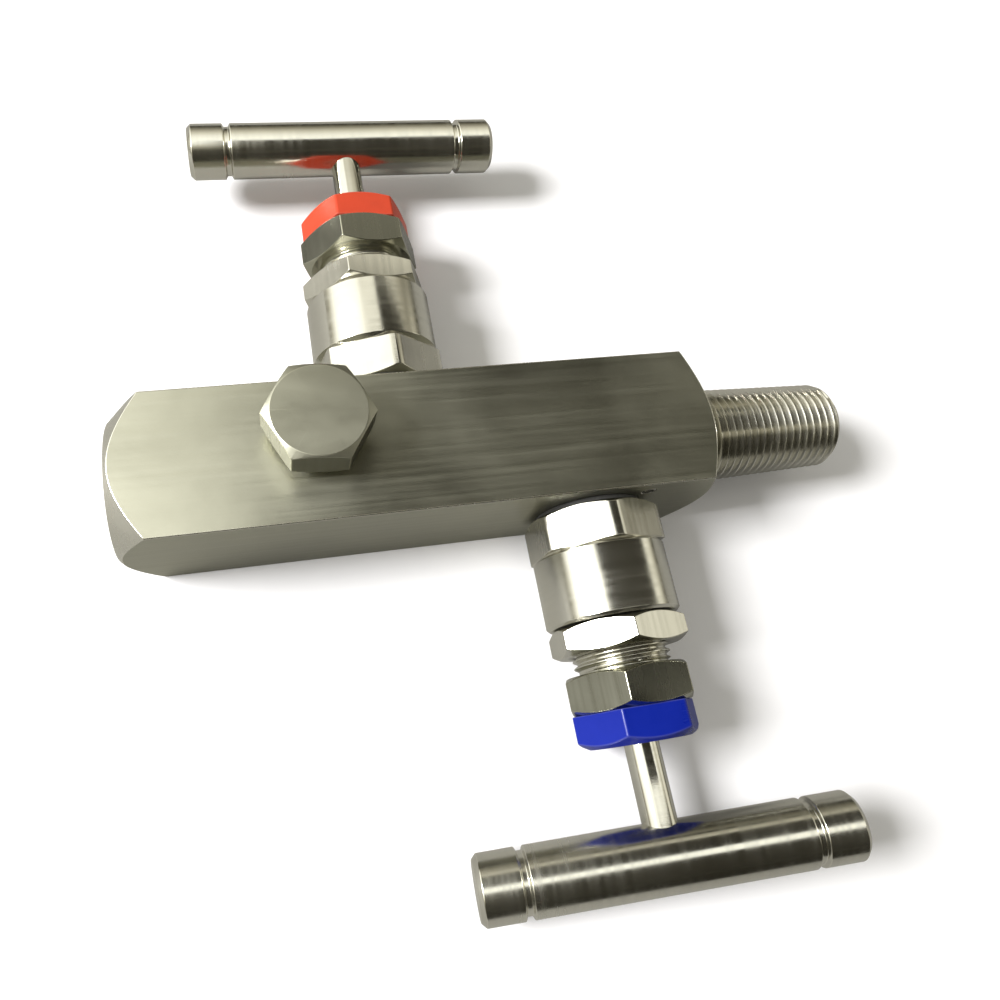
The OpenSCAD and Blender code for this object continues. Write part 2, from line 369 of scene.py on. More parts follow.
def finish_piece(piece, node, body, materials, place=None, choose=None):
    """Gives a piece its materials and smooth shading, and hides the CAD node it stands for.

    choose(middle, facing) picks a face's material from its middle, in millimetres, and
    its normal, both seen from the piece's own place.
    """
    mesh = piece.data
    mesh.materials.clear()
    for material in materials:
        mesh.materials.append(material)
    mesh.polygons.foreach_set("use_smooth", [True] * len(mesh.polygons))
    if choose:
        back = place.inverted()
        turn = back.to_3x3()
        for face in mesh.polygons:
            face.material_index = choose(back @ (face.center / MM), turn @ face.normal)
    else:
        mesh.polygons.foreach_set("material_index", [0] * len(mesh.polygons))
    mesh.set_sharp_from_angle(angle=math.radians(38))
    normals = piece.modifiers.new("normals", "WEIGHTED_NORMAL")
    normals.keep_sharp = True
    normals.weight = 80
    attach(piece, body)
    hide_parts(node)
    return piece


# ---- materials ---------------------------------------------------------------------


class Finish:
    """A procedural material, with short names for the nodes it is made of."""

    def __init__(self, name):
        self.material = bpy.data.materials.new(name)
        self.material.use_nodes = True
        self.tree = self.material.node_tree
        self.shader = self.tree.nodes["Principled BSDF"]

    def feed(self, socket, value):
        if isinstance(value, bpy.types.NodeSocket):
            self.tree.links.new(value, socket)
        else:
            socket.default_value = value

    def node(self, kind, inputs=(), **settings):
        made = self.tree.nodes.new(kind)
        for key, value in settings.items():
            setattr(made, key, value)
        for key, value in dict(inputs).items():
            self.feed(made.inputs[key], value)
        return made

    def place(self, per_metre, tilt=0.0, origin=(0, 0, 0)):
        """Object coordinates, turned back by tilt about Y, then scaled along each axis."""
        source = self.node("ShaderNodeTexCoord").outputs["Object"]
        return self.node(
            "ShaderNodeMapping",
            {
                "Vector": source,
                "Location": origin,
                "Rotation": (0, math.radians(tilt), 0),
                "Scale": tuple(1 / f for f in per_metre),
            },
            vector_type="TEXTURE",
        ).outputs["Vector"]

    def noise(self, vector, detail=3.0, roughness=0.55, distortion=0.0):
        return self.node(
            "ShaderNodeTexNoise",
            {
                "Vector": vector,
                "Scale": 1.0,
                "Detail": detail,
                "Roughness": roughness,
                "Distortion": distortion,
            },
        ).outputs["Fac"]

    def spread(self, value, low, high, to_low, to_high):
        return self.node(
            "ShaderNodeMapRange",
            {
                "Value": value,
                "From Min": low,
                "From Max": high,
                "To Min": to_low,
                "To Max": to_high,
            },
        ).outputs["Result"]

    def sum(self, *values):
        total = values[0]
        for value in values[1:]:
            total = self.node("ShaderNodeMath", {0: total, 1: value}, operation="ADD").outputs[0]
        return total

    def times(self, a, b):
        return self.node("ShaderNodeMath", {0: a, 1: b}, operation="MULTIPLY").outputs[0]

    def blend(self, share, a, b):
        mix = self.node("ShaderNodeMix", data_type="RGBA")
        self.feed(mix.inputs["Factor"], share)
        self.feed(mix.inputs[6], a)
        self.feed(mix.inputs[7], b)
        return mix.outputs[2]

    def wear_and_highlight(self):
        return self.node("ShaderNodeAttribute", attribute_name="wear_and_highlight").outputs["Fac"]

    def bump(self, height, distance, under=None):
        inputs = {"Height": height, "Distance": distance, "Strength": 1.0}
        if under is not None:
            inputs["Normal"] = under
        return self.node("ShaderNodeBump", inputs).outputs["Normal"]


def shade(colour, factor):
    return (*[min(c * factor, 1.0) for c in colour], 1.0)


def steel(name, colour, roughness, grain, marks=0.5, wave=0.3, tilt=0.0, origin=(0, 0, 0)):
    """Machined stainless steel.

    grain gives the tool marks' frequency per metre along X, Y and Z, high across them and
    low along them. marks is how deep they are, and wave how uneven the surface is. tilt and
    origin turn and shift the marks, for a piece that doesn't lie along X.
    """
    f = Finish(name)
    coarse = tuple(g / 6 if g > 500 else g / 2 for g in grain)
    fine_lines = f.noise(f.place(grain, tilt, origin), 4, 0.6)
    broad_lines = f.noise(f.place(coarse, tilt, origin), 3, 0.5)
    clouds = f.noise(f.place((38, 38, 38)), 5, 0.6, 0.4)
    specks = f.noise(f.place((900, 900, 900)), 2, 0.5)
    swell = f.noise(f.place((70, 70, 70)), 2, 0.4)
    wear_and_highlight = f.wear_and_highlight()

    stained = f.blend(
        f.spread(clouds, 0.35, 0.7, 0, 1), shade(colour, 0.9), shade(colour, 1.05)
    )
    lined = f.blend(f.spread(broad_lines, 0.3, 0.75, 0, 0.28), stained, shade(colour, 0.84))
    pitted = f.blend(f.spread(specks, 0.72, 0.8, 0, 0.12), lined, shade(colour, 0.6))
    # rounded edges and thread crests are painted lighter and glossier: partly wear, partly a
    # painted highlight
    f.feed(
        f.shader.inputs["Base Color"],
        f.blend(f.times(wear_and_highlight, 0.6), pitted, shade(colour, 1.22)),
    )
    f.feed(
        f.shader.inputs["Roughness"],
        f.sum(
            f.spread(clouds, 0.3, 0.75, roughness - 0.05, roughness + 0.07),
            f.spread(broad_lines, 0.3, 0.7, -0.04, 0.05),
            f.times(wear_and_highlight, -0.06),
        ),
    )
    waved = f.bump(swell, 0.0002 * wave)
    grained = f.bump(f.sum(fine_lines, f.times(broad_lines, 0.8)), 0.00002 * marks, waved)
    f.feed(f.shader.inputs["Normal"], grained)
    f.shader.inputs["Metallic"].default_value = 1.0
    return f.material


def plastic(name, colour, roughness=0.28):
    """Glossy moulded plastic, paler on its rounded edges: partly scuffs, partly a painted
    highlight.
    """
    f = Finish(name)
    clouds = f.noise(f.place((60, 60, 60)), 4, 0.6)
    skin = f.noise(f.place((1500, 1500, 1500)), 2, 0.5)
    scuffs = f.noise(f.place((300, 2600, 900)), 3, 0.6, 0.6)
    wear_and_highlight = f.wear_and_highlight()
    mottled = f.blend(
        f.spread(clouds, 0.3, 0.7, 0, 1), shade(colour, 0.86), shade(colour, 1.1)
    )
    paler = tuple(0.75 * c + 0.1 for c in colour)
    f.feed(
        f.shader.inputs["Base Color"],
        f.blend(f.times(wear_and_highlight, 0.35), mottled, (*paler, 1.0)),
    )
    f.feed(
        f.shader.inputs["Roughness"],
        f.sum(
            f.spread(clouds, 0.3, 0.7, roughness - 0.04, roughness + 0.08),
            f.spread(scuffs, 0.6, 0.75, 0, 0.14),
        ),
    )
    f.feed(
        f.shader.inputs["Normal"],
        f.bump(f.sum(skin, f.times(scuffs, 0.5)), 0.000012),
    )
    f.shader.inputs["IOR"].default_value = 1.5
    f.shader.inputs["Specular IOR Level"].default_value = 0.3
    return f.material


def soft_seal(name, colour):
    """Pressed fibre or polymer, matt and slightly grainy."""
    f = Finish(name)
    grain = f.noise(f.place((1400, 1400, 1400)), 4, 0.6)
    clouds = f.noise(f.place((120, 120, 120)), 3, 0.5)
    f.feed(
        f.shader.inputs["Base Color"],
        f.blend(f.spread(grain, 0.3, 0.7, 0, 1), shade(colour, 0.8), shade(colour, 1.15)),
    )
    f.feed(f.shader.inputs["Roughness"], f.spread(clouds, 0.3, 0.7, 0.55, 0.75))
    f.feed(f.shader.inputs["Normal"], f.bump(grain, 0.00004))
    return f.material


SATIN = (0.46, 0.455, 0.37)
BRIGHT = (0.70, 0.686, 0.615)

# how often tool marks repeat in a metre, across them and along them
FINE, LONG = 5200, 40

BAR_FLAT = steel("bar_flat", SATIN, 0.36, (LONG, FINE, FINE), marks=0.22, wave=0.25)
BAR_TURNED = steel("bar_turned", BRIGHT, 0.26, (FINE, 120, 120), marks=0.6)
THREAD_STEEL = steel("cut_thread", BRIGHT, 0.22, (FINE, 200, 200), marks=0.5)
BORE_STEEL = steel("drilled_bore", SATIN, 0.38, (900, 900, 900), marks=0.8)
PLUG_FACE = steel("plug_face", SATIN, 0.36, (160, 1200, 160), marks=0.3)
# painted shade: the plug's hex flats are a darker copy of the satin steel, for the shade and
# dark reflections under its head
PLUG_FLAT_PAINTED_SHADE = steel("plug_flat_painted_shade", shade(SATIN, 0.45)[:3], 0.28, (FINE, FINE, LONG), marks=0.15)
BONNET_TURNED = steel("bonnet_turned", BRIGHT, 0.17, (120, FINE, 120), marks=0.45)
BONNET_FLAT = steel("bonnet_flat", BRIGHT, 0.22, (FINE, LONG, FINE), marks=0.18)
NUT_FLAT = steel("nut_flat", BRIGHT, 0.20, (FINE, LONG, FINE), marks=0.18)
# painted shade: the gland bolts' hex flats are a darker copy of the satin steel, for the dark
# reflections on them
GLAND_FLAT_PAINTED_SHADE = steel("gland_flat_painted_shade", shade(SATIN, 0.38)[:3], 0.28, (FINE, LONG, FINE), marks=0.14)
GLAND_TURNED = steel("gland_turned", SATIN, 0.20, (120, FINE, 120), marks=0.45)
SPINDLE_STEEL = steel("polished_spindle", BRIGHT, 0.12, (120, FINE, 120), marks=0.2, wave=0.1)
INNER_STEEL = steel("turned_inner", BRIGHT, 0.22, (120, FINE, 120), marks=0.4)
PIN_STEEL = steel("spring_pin", (0.40, 0.39, 0.36), 0.35, (900, 900, 900), marks=0.6)
SCREW_STEEL = steel("grub_screw", (0.42, 0.41, 0.38), 0.32, (900, 900, 900), marks=0.6)
SEAL_GREY = soft_seal("seal_washer", (0.045, 0.045, 0.043))
PACKING_WHITE = soft_seal("packing_rings", (0.80, 0.79, 0.74))
CAP_COLOUR = {
    "isolate": plastic("cap_blue", (0.002, 0.013, 0.25)),
    "vent": plastic("cap_red", (0.52, 0.052, 0.02)),
}


# ---- bar body and plug -------------------------------------------------------------


def bar_body():
    port_end = TAIL_X + PORT_LEN
    port_stop = port_end - 1.5
    male_start = NOSE_X + 0.5
    male_root = MALE_R - MALE_DEPTH
    tip_root = male_root - (TIP_X - NOSE_X) * TAPER

    def port_reach(s, height):
        cutting = PORT_R + PORT_DEPTH * height * fade(s, TAIL_X - 9, port_stop, 1, 3)
        return max(cutting, PORT_R + PORT_BEVEL - (s - TAIL_X))

    def male_reach(s, height):
        root = male_root - (s - NOSE_X) * TAPER
        form = root + MALE_DEPTH * height * fade(s, male_start, TIP_X + 9, 1, 1)
        return min(form, tip_root - 0.5 + TIP_X - s)

    port_floor = [(0, port_end, 0.0), (PORT_R - 0.3, port_end, 0.0)]
    tip = rounded(
        [
            (tip_root - 0.8, TIP_X), (BORE_R + 0.5, TIP_X), (BORE_R, TIP_X - 0.5),
            (BORE_R, ISOLATE_X), (0, ISOLATE_X),
        ],
        [0, 0.1, 0.1, 0, 0],
        loop=False,
    )

    def outline(angle):
        reach = polygon_reach(angle - math.pi / 4, 4, HALF, 0.3)
        port = thread(angle, TAIL_X, port_stop, PIPE_PITCH, port_reach)
        outside = rounded(
            [
                (PORT_R + PORT_BEVEL, TAIL_X), (TAIL_FACE_R, TAIL_X),
                (reach, TAIL_X + reach - TAIL_FACE_R),
                (reach, NOSE_X - (reach - NOSE_FACE_R) / math.tan(math.radians(60))),
                (NOSE_FACE_R, NOSE_X), (male_root + 0.4, NOSE_X), (male_root, NOSE_X + 0.4),
            ],
            [0, 0.25, 0.35, 0.35, 0.3, 0.1, 0],
            loop=False,
        )
        male = thread(angle, male_start, TIP_X, PIPE_PITCH, male_reach)
        return port_floor + port[::-1] + outside[1:] + male + tip

    port_rows = thread_rows(TAIL_X, port_stop, PIPE_PITCH)
    male_rows = thread_rows(male_start, TIP_X, PIPE_PITCH)
    male_first = len(outline(0.0)) - male_rows - len(tip)
    angles = [a + math.pi / 4 for a in polygon_angles(4, HALF, 0.5, 26, 8)]
    angles = sorted(a % (2 * math.pi) for a in angles)
    piece = loft(
        "bar_body",
        ALONG_BAR,
        angles,
        outline,
        loop=False,
        helices=((len(port_floor), port_rows, -1), (male_first, male_rows, 1)),
    )
    cutters = []
    for valve, place in ON_VALVE.items():
        cutters.append(
            drill(
                f"{valve}_cavity",
                place,
                [
                    (ORIFICE_R, -1.35), (ORIFICE_R, SEAT_S), (SEAT_R + FIT, SEAT_S),
                    (SEAT_R + FIT, CHAMBER_S), (CHAMBER_R, CHAMBER_S),
                    (CHAMBER_R, SPIGOT_S), (SPIGOT_R + FIT, SPIGOT_S),
                    (SPIGOT_R + FIT, HALF - 0.5), (SPIGOT_R + 0.6, HALF + 0.05),
                    (SPIGOT_R + 0.6, HALF + 1),
                ],
            )
        )
        pin = place @ Matrix.Translation((PIN_X, PIN_Y, HALF))
        cutters.append(
            drill(
                f"{valve}_pin_hole",
                pin,
                [
                    (PIN_R + FIT, -5), (PIN_R + FIT, -0.15), (PIN_R + 0.25, 0.05),
                    (PIN_R + 0.25, 1),
                ],
                32,
            )
        )
    cutters.append(
        drill(
            "vent_drilling",
            ON_VALVE["vent"],
            [(ORIFICE_R - 0.3, -PASSAGE_OFF), (ORIFICE_R - 0.3, -1.1)],
            32,
        )
    )
    cutters.append(
        drill(
            "outlet_passage",
            ALONG_BAR @ Matrix.Translation((-PASSAGE_OFF, 0, 0)),
            [(PASSAGE_R, port_end - 1), (PASSAGE_R, ISOLATE_X)],
            48,
        )
    )
    hole_r = PLUG_R + FIT
    cutters.append(
        drill(
            "vent_port",
            ON_TOP,
            [
                (5.6, -PLUG_IN - 2), (5.6, -PLUG_IN), (hole_r - PLUG_IN * TAPER, -PLUG_IN),
                (hole_r, -0.4), (hole_r + 0.5, 0.05), (hole_r + 0.5, 1),
            ],
        )
    )
    feed = (
        ON_TOP
        @ Matrix.Translation((0, 0, -PLUG_IN))
        @ Matrix.Rotation(math.radians(8), 4, "Z")
        @ Matrix.Rotation(math.radians(106), 4, "Y")
    )
    cutters.append(drill("vent_feed", feed, [(PASSAGE_R, 0), (PASSAGE_R, 12.5)], 48))
    cut(piece, *cutters)

    def choose(middle, facing):
        off = math.hypot(middle.x, middle.y)
        if middle.z > NOSE_X + 0.3 or (middle.z < port_end and off < PORT_R + 1.65):
            return 3 if off < BORE_R + 0.6 else 2
        flat = max(abs(middle.x), abs(middle.y)) > HALF - 0.01
        if flat and abs(facing.z) < 0.01:
            return 0
        surface = off > HALF - 0.6 or abs(facing.z) > 0.3 and off > NOSE_FACE_R - 1.5
        return 1 if surface else 3

    finish_piece(
        piece,
        "body",
        "manifold",
        [BAR_FLAT, BAR_TURNED, THREAD_STEEL, BORE_STEEL],
        ALONG_BAR,
        choose,
    )


def on_flat(apothem, middle, facing):
    """True on the flat of a hexagon drawn round +Z."""
    return abs(facing.z) < 0.02 and abs(middle.xy.dot(facing.xy) - apothem) < 0.03


def hexagon_edge(reach, face_r, s, way, slope=0.55):
    """(r, s) of a face's rim and of the corner cut where it meets a hexagon's flats."""
    return [(face_r, s), (reach, s + way * slope * (reach - face_r))]


def vent_plug():
    place = turned(ON_TOP, -4)
    head_top = PLUG_SHOW + PLUG_HEAD
    face_r = PLUG_AF / 2 * 0.965
    start = -PLUG_IN

    def reach_at(s, height):
        crest = PLUG_R - 0.05 + min(s, 0) * TAPER - (0.1 if s > 0 else 0)
        shown = fade(s, start, PLUG_SHOW - 0.5, 0.8, 0.5)
        return crest - PLUG_DEPTH + PLUG_DEPTH * height * shown

    foot = [(0, start, 0.0), (reach_at(start, 0) - 0.6, start, 0.0)]

    def outline(angle):
        reach = polygon_reach(angle, 6, PLUG_AF / 2, 0.35)
        screw = thread(angle, start, PLUG_SHOW - 0.5, PLUG_PITCH, reach_at)
        root = reach_at(PLUG_SHOW, 0)
        head = rounded(
            [
                (root, PLUG_SHOW - 0.4), (root, PLUG_SHOW),
                *hexagon_edge(reach, face_r, PLUG_SHOW, 1),
                *hexagon_edge(reach, face_r, head_top, -1, 0.6)[::-1],
                (0, head_top),
            ],
            [0, 0.15, 0.12, 0.15, 0.2, 0.3, 0],
            loop=False,
        )
        return foot + screw + head

    rows = thread_rows(start, PLUG_SHOW - 0.5, PLUG_PITCH)
    piece = loft(
        "vent_plug_shape",
        place,
        polygon_angles(6, PLUG_AF / 2, 0.35, 18),
        outline,
        loop=False,
        helices=((len(foot), rows, 1),),
    )

    def choose(middle, facing):
        if middle.z < PLUG_SHOW - 0.3:
            return 2
        return 1 if on_flat(PLUG_AF / 2, middle, facing) else 0

    finish_piece(
        piece,
        "vent_plug",
        "manifold",
        [PLUG_FACE, PLUG_FLAT_PAINTED_SHADE, THREAD_STEEL],
        place,
        choose,
    )


# ---- pieces of a valve -------------------------------------------------------------


def ring(name, place, points, radii, count=96):
    """Turned ring from its (r, s) outline."""
    outline = rounded(points, radii)
    return loft(name, place, around(count), lambda a: outline)


def rod(name, place, points, radii, count=96):
    """Turned solid from its (r, s) outline, which starts and ends on the axis."""
    outline = rounded(points, radii, loop=False)
    return loft(name, place, around(count), lambda a: outline, loop=False)


def seat(valve, place):
    piece = ring(
        f"{valve}_seat_shape",
        place,
        [
            (ORIFICE_R, SEAT_S), (SEAT_R, SEAT_S), (SEAT_R, CHAMBER_S),
            (ORIFICE_R + SEAT_MOUTH * math.tan(math.radians(30)), CHAMBER_S),
            (ORIFICE_R, CHAMBER_S - SEAT_MOUTH),
        ],
        [0.1, 0.3, 0.3, 0.05, 0],
    )
    finish_piece(piece, f"{valve}_seat", "manifold", [INNER_STEEL])


def bonnet_seal(valve, place):
    out, inside = SPIGOT_R + 2.6, SPIGOT_R + FIT
    piece = ring(
        f"{valve}_bonnet_seal_shape",
        place,
        [(inside, HALF), (out, HALF), (out, HEX_S), (inside, HEX_S)],
        [0.1, 0.25, 0.25, 0.1],
    )
    finish_piece(piece, f"{valve}_bonnet_seal", "manifold", [SEAL_GREY])


def bonnet(valve, place, turn):
    place = turned(place, turn)
    apothem = BONNET_AF / 2
    face_r = apothem * HEX_FACE
    neck_r = BARREL_R - 1.05

    def outline(angle):
        reach = min(polygon_reach(angle, 6, apothem, HEX_CORNER_R), BONNET_CORNER_R)
        return rounded(
            [
                (SCREW_R + FIT, SPIGOT_S), (SPIGOT_R, SPIGOT_S), (SPIGOT_R, HEX_S),
                *hexagon_edge(reach, face_r, HEX_S, 1),
                (reach, BARREL_S), (neck_r, BARREL_S), (BARREL_R, BARREL_S + 0.8),
                (BARREL_R, BONNET_TOP - 0.6), (BARREL_R - 0.6, BONNET_TOP),
                (GLAND_R + 0.6, BONNET_TOP), (GLAND_R + FIT, BONNET_TOP - 0.6),
                (GLAND_R + FIT, GLAND_S), (PACK_R, GLAND_S), (PACK_R, BOX_S),
                (SCREW_R + FIT, BOX_S),
            ],
            [0.2, 0.4, 0, 0.1, 0.2, 0.25, 0.1, 0.15, 0.15, 0.15, 0.1, 0, 0, 0.2, 0, 0.2],
        )

    angles = polygon_angles(6, apothem, HEX_CORNER_R, 22)
    piece = loft(f"{valve}_bonnet_shape", place, angles, outline)

    def choose(middle, facing):
        return 1 if on_flat(apothem, middle, facing) and middle.z < BARREL_S else 0

    finish_piece(
        piece,
        f"{valve}_bonnet",
        "manifold",
        [BONNET_TURNED, BONNET_FLAT],
        place,
        choose,
    )


def lock_pin(valve, place):
    place = place @ Matrix.Translation((PIN_X, PIN_Y, HALF))
    piece = ring(
        f"{valve}_lock_pin_shape",
        place,
        [(1.1, -4.8), (PIN_R, -4.8), (PIN_R, 0.1), (1.1, 0.1)],
        [0.05, 0.3, 0.3, 0.05],
        48,
    )
    cut(piece, slot_cutter(place))
    finish_piece(piece, f"{valve}_lock_pin", "manifold", [PIN_STEEL])


def slot_cutter(place):
    """Thin upright box from a pin's middle out through one side."""
    corners = [
        place @ Vector((x, y, z)) * MM
        for x in (0.0, 3.0)
        for y in (-0.25, 0.25)
        for z in (-6.0, 2.0)
    ]
    mesh = bpy.data.meshes.new("slot_cutter")
    mesh.from_pydata(
        corners,
        [],
        [(0, 1, 3, 2), (4, 6, 7, 5), (0, 4, 5, 1), (2, 3, 7, 6), (0, 2, 6, 4), (1, 5, 7, 3)],
    )
    mesh.attributes.new("wear_and_highlight", "FLOAT", "POINT")
    cutter = bpy.data.objects.new("slot_cutter", mesh)
    scene.collection.objects.link(cutter)
    return cutter


def lock_nut(valve, place, turn):
    place = turned(place, turn)
    apothem = LOCKNUT_AF / 2
    face_r = apothem * HEX_FACE
    top = LOCKNUT_S + LOCKNUT_T

    def outline(angle):
        reach = polygon_reach(angle, 6, apothem, HEX_CORNER_R)
        return rounded(
            [
                (GLAND_R + 0.7, LOCKNUT_S),
                *hexagon_edge(reach, face_r, LOCKNUT_S, 1),
                *hexagon_edge(reach, face_r, top, -1)[::-1],
                (GLAND_R + 0.7, top), (GLAND_R + FIT, top - 0.65),
                (GLAND_R + FIT, LOCKNUT_S + 0.65),
            ],
            [0.1, 0.12, 0.2, 0.2, 0.12, 0.1, 0, 0],
        )

    angles = polygon_angles(6, apothem, HEX_CORNER_R, 22)
    piece = loft(f"{valve}_lock_nut_shape", place, angles, outline)

    def choose(middle, facing):
        return 1 if on_flat(apothem, middle, facing) else 0

    finish_piece(
        piece,
        f"{valve}_lock_nut",
        "manifold",
        [BONNET_TURNED, NUT_FLAT],
        place,
        choose,
    )


def gland_bolt(valve, place, turn):
    place = turned(place, turn)
    apothem = GLAND_AF / 2
    face_r = apothem * HEX_FACE
    start, stop = SHANK_S, HEAD_S - 0.5

    def reach_at(s, height):
        return GLAND_R - GLAND_DEPTH + GLAND_DEPTH * height * fade(s, start, stop, 1.2, 0.6)

    def outline(angle):
        reach = polygon_reach(angle, 6, apothem, HEX_CORNER_R)
        screw = thread(angle, start, stop, GLAND_PITCH, reach_at)
        rest = rounded(
            [
                (GLAND_R - GLAND_DEPTH, HEAD_S - 0.4), (GLAND_R - GLAND_DEPTH, HEAD_S),
                *hexagon_edge(reach, face_r, HEAD_S, 1),
                *hexagon_edge(reach, face_r, CAP_S, -1)[::-1],
                (BOSS_R, CAP_S), (BOSS_R, BOSS_TOP), (GUIDE_R, BOSS_TOP), (GUIDE_R, SHANK_S),
            ],
            [0, 0.15, 0.12, 0.2, 0.2, 0.12, 0.1, 0.4, 0.2, 0],
            loop=False,
        )
        return screw + rest

    rows = thread_rows(start, stop, GLAND_PITCH)
    piece = loft(
        f"{valve}_gland_bolt_shape",
        place,
        polygon_angles(6, apothem, HEX_CORNER_R, 20),
        outline,
        helices=((0, rows, 1),),
    )

    def choose(middle, facing):
        if middle.z < HEAD_S - 0.3:
            return 2
        return 1 if on_flat(apothem, middle, facing) else 0

    finish_piece(
        piece,
        f"{valve}_gland_bolt",
        "manifold",
        [GLAND_TURNED, GLAND_FLAT_PAINTED_SHADE, BONNET_TURNED],
        place,
        choose,
    )


def gland_follower(valve, place):
    wide = GLAND_R - 0.6
    top = SHANK_S - 0.05
    piece = ring(
        f"{valve}_gland_follower_shape",
        place,
        [
            (GUIDE_R, GLAND_S - 1), (PACK_R - FIT, GLAND_S - 1), (PACK_R - FIT, GLAND_S + 0.4),
            (wide, GLAND_S + 0.4), (wide, top), (GUIDE_R, top),
        ],
        [0.1, 0.2, 0, 0.2, 0.2, 0.1],
    )
    finish_piece(piece, f"{valve}_gland_follower", "manifold", [INNER_STEEL])


def packing(valve, place):
    """Three square rings, with their edges pressed round."""
    first, last = BOX_S + 1, GLAND_S - 1
    thick = (last - first) / 3
    inside, out = SPINDLE_R + 0.03, PACK_R - 0.03
    rings = []
    for i in range(3):
        low, high = first + i * thick + 0.02, first + (i + 1) * thick - 0.02
        outline = [(inside, low), (out, low), (out, high), (inside, high)]
        rings.append(ring(f"{valve}_packing_ring", place, outline, [0.2] * 4, 72))
    joined = bmesh.new()
    for one in rings:
        joined.from_mesh(one.data)
    joined.to_mesh(rings[0].data)
    joined.free()
    for one in rings[1:]:
        bpy.data.objects.remove(one)
    rings[0].name = f"{valve}_packing_shape"
    finish_piece(rings[0], f"{valve}_packing", "manifold", [PACKING_WHITE])


def packing_washer(valve, place):
    inside, out = SPINDLE_R + 0.06, PACK_R - FIT
    low, high = BOX_S + 0.02, BOX_S + 1
    piece = ring(
        f"{valve}_packing_washer_shape",
        place,
        [(inside, low), (out, low), (out, high), (inside, high)],
        [0.1] * 4,
    )
    finish_piece(piece, f"{valve}_packing_washer", "manifold", [INNER_STEEL])


def dust_cap(valve, place, turn):
    place = turned(place, turn)
    apothem = CAP_AF / 2
    face_r = apothem * 0.9
    low = CAP_S + 0.05

    def outline(angle):
        reach = polygon_reach(angle, 6, apothem, 0.9)
        return rounded(
            [
                (BOSS_R + FIT, low), (reach, low),
                *hexagon_edge(reach, face_r, CAP_TOP, -1)[::-1],
                (SPINDLE_R + 0.1, CAP_TOP), (SPINDLE_R + 0.1, BOSS_TOP + FIT),
                (BOSS_R + FIT, BOSS_TOP + FIT),
            ],
            [0.1, 0.25, 0.5, 0.5, 0.3, 0.1, 0.1],
        )

    piece = loft(
        f"{valve}_dust_cap_shape", place, polygon_angles(6, apothem, 0.9, 16, 8), outline
    )
    finish_piece(piece, f"{valve}_dust_cap", "manifold", [CAP_COLOUR[valve]])


def needle(valve, place):
    nose, gap = 1.2, 0.04
    slope = math.tan(math.radians(30))
    cone_s = CHAMBER_S - SEAT_MOUTH
    low = REST_LIFT + cone_s + (nose + gap - ORIFICE_R) / slope
    high = REST_LIFT + cone_s + (NEEDLE_R + gap - ORIFICE_R) / slope
    back, top = REST_LIFT + NEEDLE_END, REST_LIFT + NEEDLE_END + 3.5
    piece = rod(
        f"{valve}_needle_shape",
        place,
        [
            (0, low), (nose, low), (NEEDLE_R, high), (NEEDLE_R, back), (STUB_R, back),
            (STUB_R, top), (0, top),
        ],
        [0, 0.2, 0.1, 0.3, 0.1, 0.2, 0],
        72,
    )
    finish_piece(piece, f"{valve}_needle", f"{valve}_needle_body", [INNER_STEEL])


def spindle(valve, place):
    foot = NEEDLE_END + REST_LIFT + 0.05
    start, stop = foot + 2.4, SCREW_END - 0.2
    top = HANDLE_S + 3.5

    def reach_at(s, height):
        return SCREW_R - SCREW_DEPTH + SCREW_DEPTH * height * fade(s, start, stop, 0.8, 1)

    pocket = rounded(
        [
            (0, foot + 3.6), (STUB_R + FIT, foot + 3.6), (STUB_R + FIT, foot),
            (SCREW_R - 0.95, foot), (SCREW_R - 0.95, foot + 2.1),
        ],
        [0, 0, 0.15, 0.3, 0],
        loop=False,
    )
    shaft = rounded(
        [
            (SCREW_R - SCREW_DEPTH, SCREW_END - 0.1), (SPINDLE_R, SCREW_END + 0.4),
            (SPINDLE_R, top), (0, top),
        ],
        [0, 0.2, 0.5, 0],
        loop=False,
    )

    def outline(angle):
        return pocket + thread(angle, start, stop, SCREW_PITCH, reach_at) + shaft

    rows = thread_rows(start, stop, SCREW_PITCH)
    piece = loft(
        f"{valve}_spindle_shape",
        place,
        around(96),
        outline,
        loop=False,
        helices=((len(pocket), rows, 1),),
    )
    finish_piece(
        piece, f"{valve}_spindle", f"{valve}_spindle_body", [SPINDLE_STEEL]
    )


